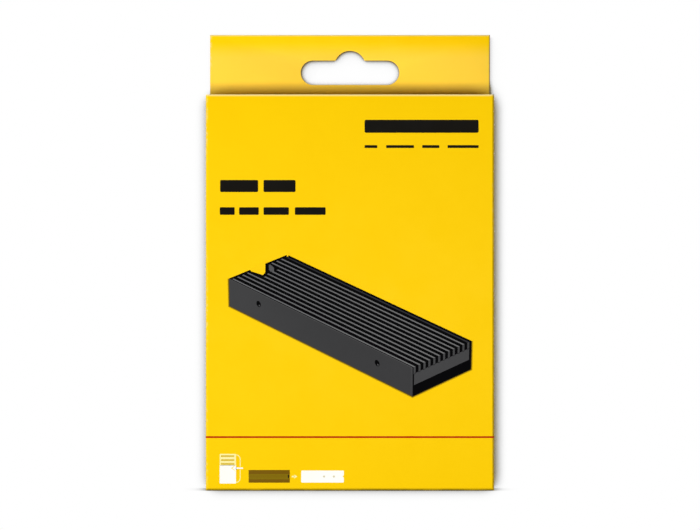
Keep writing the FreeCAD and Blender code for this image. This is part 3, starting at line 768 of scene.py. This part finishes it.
def wrap_line(name, ink, level, breadth):
    """A printed line that runs round the sleeve from its back seam, over every fold."""
    depth, width = BACK - FRONT, 2 * SIDE
    line = new_plate(name, ((SEAM + SIDE) / 2, BACK, level), SIDE - SEAM, breadth, (-math.pi / 2, 0, 0))
    open_up(line)
    pick(line, "EDGE", lambda m, s: near(m.x, SIDE))
    pull(0, -depth, 0)
    pull(-width, 0, 0)
    pull(0, depth - BOARD - FOLD, 0)
    pick(line, "EDGE", lambda m, s: near(abs(m.x), SIDE) and s.z > NEAR and abs(m.y) > BACK - NEAR)
    bpy.ops.mesh.bevel(offset=FOLD, segments=FOLD_STEPS, profile=0.5, affect="EDGES")
    face_out(line, (0, FRONT, level), (0, -1, 0))
    give(line, ink)
    apply(line, "SOLIDIFY", thickness=INK_IN + INK_OUT, offset=0.2, use_even_offset=True)
    smooth(line)
    return place_on("carton", line)


def print_bars():
    """The places of the title and of the maker's corner, left as plain bars."""
    lay_ink("title_bars", BLACK_INK, [
        field(-41.0, -29.0, 94.2, 98.0, 0.4), field(-27.3, -17.2, 94.2, 98.0, 0.4),
    ], 1)
    lay_ink("subtitle_bars", BLACK_INK, [
        field(left, right, 87.0, 89.4, 0.3)
        for left, right in ((-41.1, -36.4), (-35.0, -28.8), (-27.3, -19.3), (-17.4, -7.7))
    ], 1)
    lay_ink("corner_bar", BLACK_INK, [field(4.6, 40.6, 112.9, 117.0, 0.5)], 1)
    lay_ink("corner_line", BLACK_INK, [
        field(left, right, 108.1, 109.0, 0.2)
        for left, right in ((4.6, 8.6), (11.4, 20.2), (22.8, 28.2), (30.8, 40.6))
    ], 1)
    wrap_line("red_rule", RED_INK, 16.85 * MM, 0.56 * MM)


def print_tower():
    """The computer's pictogram: striped front, curved side panel and the arrow that goes in."""
    lay_ink("tower_side", CREAM_INK, [ring(-38.0, -34.55, 2.4, 11.4, 1.5, 0.22, 1)], 1)
    lay_ink("tower_top", CREAM_INK, [field(-41.1, -36.0, 7.9, 11.55, 0.2, 2)], 2)
    lay_ink("tower_front", WHITE_INK, [field(-41.15, -36.0, 2.2, 8.0, 0.2, 2)], 2)
    lay_ink("tower_stripes", TAN_INK, [
        field(-40.75, -36.5, low, low + 0.58, coat=3) for low in (8.1, 9.3, 10.55)
    ], 3)
    lay_ink("arrow_outline", GROUND_INK, arrow((-37.15, 7.05), -1, 1.2, 1.0, 2.2, 4, 0.24), 4)
    lay_ink("arrow_in", WHITE_INK, arrow((-37.15, 7.05), -1, 1.2, 1.0, 2.2, 5), 5)


def print_modules():
    """The pictograms of the finned part and of the slim board that it goes on."""
    lay_ink("finned_part", BROWN_INK, [field(-32.0, -19.0, 2.45, 6.48, 0.1)], 1)
    lay_ink("finned_part_band", OLIVE_INK, [field(-32.0, -19.3, 3.55, 5.15, coat=2)], 2)
    lay_ink("finned_part_lines", BROWN_INK, [
        field(-31.9, -20.0, level, level + 0.12, coat=3) for level in (3.9, 4.3, 4.7)
    ], 3)
    lay_ink("finned_part_mark", BLACK_INK, [field(-19.63, -19.28, 3.9, 4.95, coat=3)], 3)
    lay_ink("small_arrow", CREAM_INK, arrow((-16.6, 4.4), 1, 1.0, 0.6, 0.8, 1), 1)
    lay_ink("slim_board", WHITE_INK, [field(-15.4, -1.95, 2.5, 6.3, 0.3)], 1)
    lay_ink("slim_board_marks", MARK_INK, [
        patch([(across - 0.42, 4.4), (across, 4.82), (across + 0.42, 4.4), (across, 3.98)], 2)
        for across in (-8.2, -5.1)
    ], 2)
    lay_ink("slim_board_notch", GROUND_INK, [patch([(-2.35, 4.4), (-1.9, 4.8), (-1.9, 4.0)], 2)], 2)


# Picture of the heat sink: faces drawn at their real angles, turned to the view and pressed flat

LONG, WIDE, TALL = 84.2 * MM, 25.5 * MM, 9.95 * MM
PICTURE_YAW, PICTURE_TILT = math.radians(46.4), math.radians(26.96)
PICTURE_FROM = 909 * MM
PICTURE_PLACE = Vector((-0.75 * MM, 0, 57.28 * MM))
FIN_COUNT = 12
FIN_START, FIN_STEP = 0.055, 0.0832
FIN_HALF = 0.013 * WIDE
TOOTH_HALF = 0.017 * WIDE
NOTCH_LOW, NOTCH_HIGH = 0.37 * WIDE, 0.63 * WIDE
NOTCH_DEEP = 0.072 * LONG
TOOTH_FOOT, WEB_FOOT = 0.755 * TALL, 0.375 * TALL
EDGE_LINE = 0.16 * MM
SCREW_PLACES = ((0.169, 0.60), (0.8155, 0.555))


def drawn(low, high):
    """A flat face of the pictured heat sink, between two corners that share one coordinate."""
    low, high = Vector(low), Vector(high)
    centre, size = (low + high) / 2, high - low
    if size.z < NEAR:
        return new_plate("face", centre, size.x, size.y)
    if size.y < NEAR:
        return new_plate("face", centre, size.x, size.z, (math.pi / 2, 0, 0))
    return new_plate("face", centre, size.y, size.z, (math.pi / 2, 0, math.pi / 2))


def screw_mark(along, up, radius):
    """A round mark on the pictured heat sink's side."""
    leave_all()
    bpy.ops.mesh.primitive_circle_add(vertices=20, radius=radius, fill_type="NGON",
                                      location=(along * LONG, 0, up * TALL),
                                      rotation=(math.pi / 2, 0, 0))
    return settle("mark")


def press_flat(piece, coat):
    """Turns drawn faces to the picture's view and perspective, and presses them onto the panel."""
    middle = Vector((LONG / 2, WIDE / 2, TALL))
    view = Matrix.Rotation(PICTURE_TILT, 4, "X") @ Matrix.Rotation(-PICTURE_YAW, 4, "Z")
    piece.data.transform(view @ Matrix.Translation(-middle))
    for corner in piece.data.vertices:
        shrink = PICTURE_FROM / (PICTURE_FROM + corner.co.y)
        corner.co = (corner.co.x * shrink, 0, corner.co.z * shrink)
    piece.data.transform(Matrix.Translation(PICTURE_PLACE + Vector((0, FRONT - coat * INK_OUT, 0))))
    face_front(piece)
    return piece


def print_drawn(name, ink, faces, coat):
    """Prints drawn faces as one piece of the picture."""
    return lay_ink(name, ink, [press_flat(join(name, faces), coat)], coat)


def drawn_sides(margin, *wanted):
    """The pictured block's top, long side or end, each grown by a margin."""
    m = margin
    corners = {
        "top": ((-m, -m, TALL), (LONG + m, WIDE + m, TALL)),
        "side": ((-m, -m, -m), (LONG + m, -m, TALL)),
        "end": ((LONG + m, -m, -m), (LONG + m, WIDE + m, TALL)),
    }
    return [drawn(*corners[name]) for name in wanted]


def print_picture():
    """The pictured heat sink, from its soft outline to its screws, with the notch last."""
    print_drawn("picture_halo", PICTURE_HALO, drawn_sides(0.34 * MM, "side", "end"), 1)
    print_drawn("picture_rim", PICTURE_RIM, drawn_sides(0.15 * MM, "side", "end"), 2)
    print_drawn("picture_black", PICTURE_BLACK, drawn_sides(0, "top", "end"), 3)
    print_drawn("picture_side", PICTURE_SIDE, [drawn((0.15 * MM, 0, 0.05 * MM), (LONG, 0, TALL))], 3)
    near_end = LONG - 0.75 * MM
    side_lines = [
        drawn((1.2 * MM, 0, TALL - 1.1 * EDGE_LINE), (LONG - 0.5 * MM, 0, TALL)),
        drawn((near_end, 0, 0.3 * MM), (near_end + EDGE_LINE, 0, TALL - 0.3 * MM)),
    ]
    fins, teeth = [], []
    for fin in range(FIN_COUNT):
        middle = WIDE * (1 - FIN_START - FIN_STEP * fin)
        notched = NOTCH_LOW < middle < NOTCH_HIGH
        start = NOTCH_DEEP if notched else 1.1 * MM
        fins.append(drawn((start, middle - FIN_HALF, TALL), (LONG, middle + FIN_HALF, TALL)))
        teeth.append(drawn((LONG, middle - TOOTH_HALF, TOOTH_FOOT), (LONG, middle + TOOTH_HALF, TALL)))
    print_drawn("picture_far_fin", PICTURE_FAR, fins[:1], 4)
    print_drawn("picture_fins", PICTURE_FIN, fins[1:], 4)
    web = drawn((LONG, 0.022 * WIDE, WEB_FOOT), (LONG, 0.962 * WIDE, TOOTH_FOOT + 0.02 * TALL))
    print_drawn("picture_teeth", PICTURE_END, teeth + [web], 4)
    print_drawn("picture_edges", PICTURE_EDGE, side_lines, 4)
    print_drawn("screw_marks", PICTURE_BLACK, [
        screw_mark(along, up, 1.05 * MM) for along, up in SCREW_PLACES
    ], 4)
    print_drawn("screw_glints", PICTURE_EDGE, [
        screw_mark(along + 0.004, up - 0.045, 0.3 * MM) for along, up in SCREW_PLACES
    ], 5)
    print_notch()


def print_notch():
    """The bite out of the pictured cover's far end and the nick in its corner, where yellow shows."""
    wall = [(-25.6, 71.25), (-25.1, 71.3), (-24.0, 70.3), (-24.0, 69.1), (-25.0, 69.0), (-25.6, 69.7)]
    lay_ink("notch_wall", PICTURE_EDGE, [patch(wall, 5)], 5)
    lip = [(-31.6, 69.4), (-27.4, 67.9), (-26.2, 68.9), (-26.2, 68.0), (-27.4, 67.2), (-31.8, 68.75)]
    lay_ink("notch_lip", PICTURE_BLACK, [patch(lip[:2] + lip[4:], 5), patch(lip[1:5], 5)], 5)
    ground = [(-31.6, 69.84), (-31.25, 69.21), (-27.5, 68.0),
              (-26.73, 68.87), (-26.73, 72.12), (-26.89, 72.43)]
    lay_ink("notch_ground", GROUND_INK, [patch(ground, 6)], 6)
    lay_ink("corner_nick", GROUND_INK, [field(-19.95, -19.5, 73.85, 75.1, coat=6)], 6)


print_bars()
print_tower()
print_modules()
print_picture()


# Heat sink and loose things

def plain(name, shade, deeper, roughness, metallic=0.0, specular=0.5, grain=600.0,
          stretch=(1, 1, 1), height=0.02):
    """A surface with a fine grain in its shade, gloss and height, drawn out along its making."""
    material, sockets, bench, place = new_material(name, roughness, metallic, specular)
    drawn_out = bench.stretch(place, stretch)
    fine = bench.noise(drawn_out, grain, 3, 0.6)
    cloud = bench.noise(place, 60.0, 2, 0.5)
    mixed = bench.plus(bench.times(fine, 0.6), bench.times(cloud, 0.4))
    bench.feed(sockets["Base Color"], bench.blend(bench.ramp(mixed, 0.35, 0.65), shade, deeper))
    bench.feed(sockets["Roughness"], bench.ramp(fine, 0.3, 0.7, roughness - 0.06, roughness + 0.06))
    bench.feed(sockets["Normal"], bench.bump(fine, 0.6, height * MM))
    return material


def leaflet_paper():
    """Thin folded paper, its small print as grey rows broken into short bars."""
    material, sockets, bench, place = new_material("leaflet_paper", 0.85, 0, 0.25)
    x, _, z = bench.split(place)
    pitch, margin, foot, head = 2.4 * MM, 25 * MM, 9 * MM, 78 * MM
    fibre = use(bench, FIBRE, place, Grain=1600.0)
    paper = bench.blend(fibre["Fleck"], linear(240, 238, 231), linear(226, 223, 214))
    row = bench.below(bench.math("FRACT", bench.math("DIVIDE", z, pitch)), 0.36)
    columns = bench.add("ShaderNodeCombineXYZ")
    bench.feed(columns.inputs[0], x)
    bench.feed(columns.inputs[2], bench.math("FLOOR", bench.math("DIVIDE", z, pitch)))
    words = bench.above(bench.noise(columns.outputs[0], 420.0, 0, 0.5), 0.46)
    inside = bench.times(bench.below(bench.size(x), margin),
                         bench.times(bench.below(z, head), bench.above(z, foot)))
    ink = bench.times(bench.times(row, words), bench.times(inside, 0.72))
    bench.feed(sockets["Base Color"], bench.blend(ink, paper, linear(74, 74, 78)))
    bench.feed(sockets["Normal"], bench.bump(fibre["Height"], 0.4, 0.05 * MM))
    return material


def dress(material, *nodes):
    """Finishes the pieces that need no more form than the CAD gives them."""
    for node in nodes:
        give(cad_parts[node], material)
        smooth(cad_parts[node], 30)


dress(plain("black_aluminium", linear(27, 27, 29), linear(18, 18, 20), 0.36, metallic=0.6,
            grain=900.0, stretch=(0.03, 1, 1)), "heatsink_base", "heatsink_cover")
dress(plain("grey_pad", linear(150, 153, 158), linear(128, 131, 137), 0.82, specular=0.3,
            grain=420.0, height=0.06), "lower_thermal_pad", "upper_thermal_pad")
dress(plain("black_steel", linear(38, 38, 40), linear(26, 26, 28), 0.33, metallic=0.9), "side_screws")
dress(plain("handle_plastic", linear(34, 34, 37), linear(26, 26, 28), 0.46, grain=1100.0),
      "screwdriver_handle")
dress(plain("bright_steel", linear(206, 206, 209), linear(178, 178, 182), 0.24, metallic=1.0,
            grain=900.0, stretch=(0.04, 1, 1)), "screwdriver_shaft")
dress(leaflet_paper(), "instruction_leaflet")


# Studio: lamp powers in watts, the sky's brightness at its left and right, and its gain at the top

KEY, LEFT_FILL, RIGHT_FILL, OVERHEAD, BACK_FILL = 22.4, 5.2, 3.6, 2.6, 6.5
SKY_LEFT, SKY_RIGHT, SKY_TOP = 0.18, 0.04, 0.06


def make_camera():
    """Looks straight at the front panel, from far off with a long lens."""
    distance, frame_width, level = 2.5, 220.94 * MM, 71.17 * MM
    data = bpy.data.cameras.new("camera")
    data.sensor_width = 36
    data.lens = data.sensor_width * distance / frame_width
    camera = bpy.data.objects.new("camera", data)
    camera.location = (0, FRONT - distance, level)
    camera.rotation_euler = (math.pi / 2, 0, 0)
    bpy.context.scene.collection.objects.link(camera)
    bpy.context.scene.camera = camera


def lamp(name, place, aim, width, height, watts):
    """A soft panel that faces its aim."""
    data = bpy.data.lights.new(name, "AREA")
    data.shape = "RECTANGLE"
    data.size, data.size_y, data.energy = width, height, watts
    panel = bpy.data.objects.new(name, data)
    panel.location = place
    panel.rotation_euler = (Vector(aim) - Vector(place)).to_track_quat("-Z", "Y").to_euler()
    bpy.context.scene.collection.objects.link(panel)
    return panel


def make_lamps():
    """A broad key from the front, and fills from both sides, above and behind."""
    middle = (0, 0, 0.07)
    lamp("key", (0.04, -1.6, -0.02), (0.04, 0, -0.02), 1.0, 0.2, KEY)
    lamp("left_fill", (-1.0, -0.12, 0.07), middle, 0.4, 0.3, LEFT_FILL)
    lamp("right_fill", (0.85, 0.85, 0.1), middle, 0.3, 0.4, RIGHT_FILL)
    lamp("overhead", (0, 0.35, 1.0), middle, 0.5, 0.2, OVERHEAD)
    lamp("back_fill", (0.2, 1.1, 0.3), middle, 0.5, 0.4, BACK_FILL)


def make_world():
    """White where the camera looks and in mirrors, else a studio brighter at the left and overhead."""
    world = bpy.data.worlds.new("studio")
    world.use_nodes = True
    bpy.context.scene.world = world
    bench = Bench(world.node_tree)
    x, _, z = bench.split(bench.add("ShaderNodeTexCoord").outputs["Generated"])
    across = bench.ramp(x, -0.9, 0.9, SKY_LEFT, SKY_RIGHT)
    level = bench.plus(across, bench.ramp(z, 0.0, 1.0, 0.0, SKY_TOP))
    studio = bench.add("ShaderNodeCombineColor")
    for channel in studio.inputs:
        bench.feed(channel, level)
    rays = bench.add("ShaderNodeLightPath").outputs
    mirrored = bench.most(rays["Is Glossy Ray"], rays["Is Transmission Ray"])
    seen = bench.most(rays["Is Camera Ray"], mirrored)
    background = world.node_tree.nodes["Background"].inputs
    bench.feed(background["Color"], bench.blend(seen, studio.outputs[0], (1, 1, 1, 1)))
    background["Strength"].default_value = 1.0


def shade_material(name, reach, least, most, strength, lean=None):
    """A clear layer that shows the soft shade of what stands close to it, warmed by the card's yellow.

    The shade starts where the openness falls below most, and is full at least. Only the front shows
    it. Lean, if given, tilts the way that it falls.
    """
    material = bpy.data.materials.new(name)
    material.use_nodes = True
    bench = Bench(material.node_tree)
    material.node_tree.nodes.remove(material.node_tree.nodes["Principled BSDF"])
    closeness = bench.add("ShaderNodeAmbientOcclusion", samples=12)
    closeness.inputs["Distance"].default_value = reach
    if lean:
        bench.feed(closeness.inputs["Normal"], lean(bench))
    back = bench.add("ShaderNodeNewGeometry").outputs["Backfacing"]
    shade = bench.times(strength(bench), bench.minus(1.0, back))
    depth = bench.ramp(closeness.outputs["AO"], least, most, 1.0, 0.0)
    level = bench.minus(1.0, bench.times(depth, shade))
    blue = bench.times(level, bench.ramp(level, 0.2, 0.5, 0.15, 1.0))
    green = bench.plus(bench.times(level, 0.7), bench.times(blue, 0.3))
    colour = bench.add("ShaderNodeCombineColor")
    for channel, value in zip(colour.inputs, (level, green, blue)):
        bench.feed(channel, value)
    clear = bench.add("ShaderNodeBsdfTransparent")
    bench.feed(clear.inputs["Color"], colour.outputs[0])
    bench.feed(material.node_tree.nodes["Material Output"].inputs["Surface"], clear.outputs[0])
    return material


def floor_strength(bench):
    """The shade on the floor, weaker at the carton's two sides, where the side lamps reach under it."""
    x = bench.split(bench.add("ShaderNodeTexCoord").outputs["Object"])[0]
    return bench.ramp(bench.size(x), SIDE - MM, SIDE + 4 * MM, 0.95, 0.4)


def wall_strength(bench):
    """The shade on the paper, weaker where little stands off it: by the thin tab and below the foot."""
    x, _, z = bench.split(bench.add("ShaderNodeTexCoord").outputs["Object"])
    left = bench.times(bench.ramp(z, RIM - 2 * MM, RIM + 3 * MM),
                       bench.ramp(x, -30 * MM, -40 * MM, 0.0, 0.93))
    right = bench.times(bench.ramp(z, RIM + 2 * MM, RIM + 6 * MM),
                        bench.ramp(x, 30 * MM, 40 * MM, 0.0, 0.6))
    over = bench.ramp(z, TAB_TOP - 3 * MM, TAB_TOP, 0.0, 0.93)
    under = bench.ramp(z, 0.5 * MM, -3 * MM, 0.0, 0.65)
    return bench.minus(1.0, bench.most(left, right, over, under))


def wall_lean(bench):
    """The way the shade on the paper falls: down to the right, but up beside the box's top corners."""
    z = bench.split(bench.add("ShaderNodeTexCoord").outputs["Object"])[2]
    at_tab = bench.ramp(z, RIM - 2 * MM, RIM + 4 * MM, -0.15, 0.2)
    at_box = bench.ramp(z, RIM - 14 * MM, RIM - 8 * MM, 0.1, -0.15)
    return bench.direction(-0.17, -1.0, bench.most(at_tab, at_box))


def make_backdrop():
    """Two clear layers that catch the carton's soft shade: the floor, and the paper close behind it."""
    floor = new_plate("floor", (0, 0, -0.05 * MM), 3.0, 3.0)
    give(floor, shade_material("floor_shade", 9 * MM, 0.18, 0.97, floor_strength))
    wall = new_plate("wall", (0, BACK + 0.1 * MM, 0.07), 0.6, 0.6, (math.pi / 2, 0, 0))
    give(wall, shade_material("wall_shade", 5.2 * MM, 0.3, 0.96, wall_strength, wall_lean))
    for layer in (floor, wall):
        layer.visible_diffuse = layer.visible_glossy = layer.visible_transmission = False
        layer.visible_shadow = False


make_camera()
make_lamps()
make_world()
make_backdrop()
bpy.context.scene.view_settings.view_transform = "Standard"
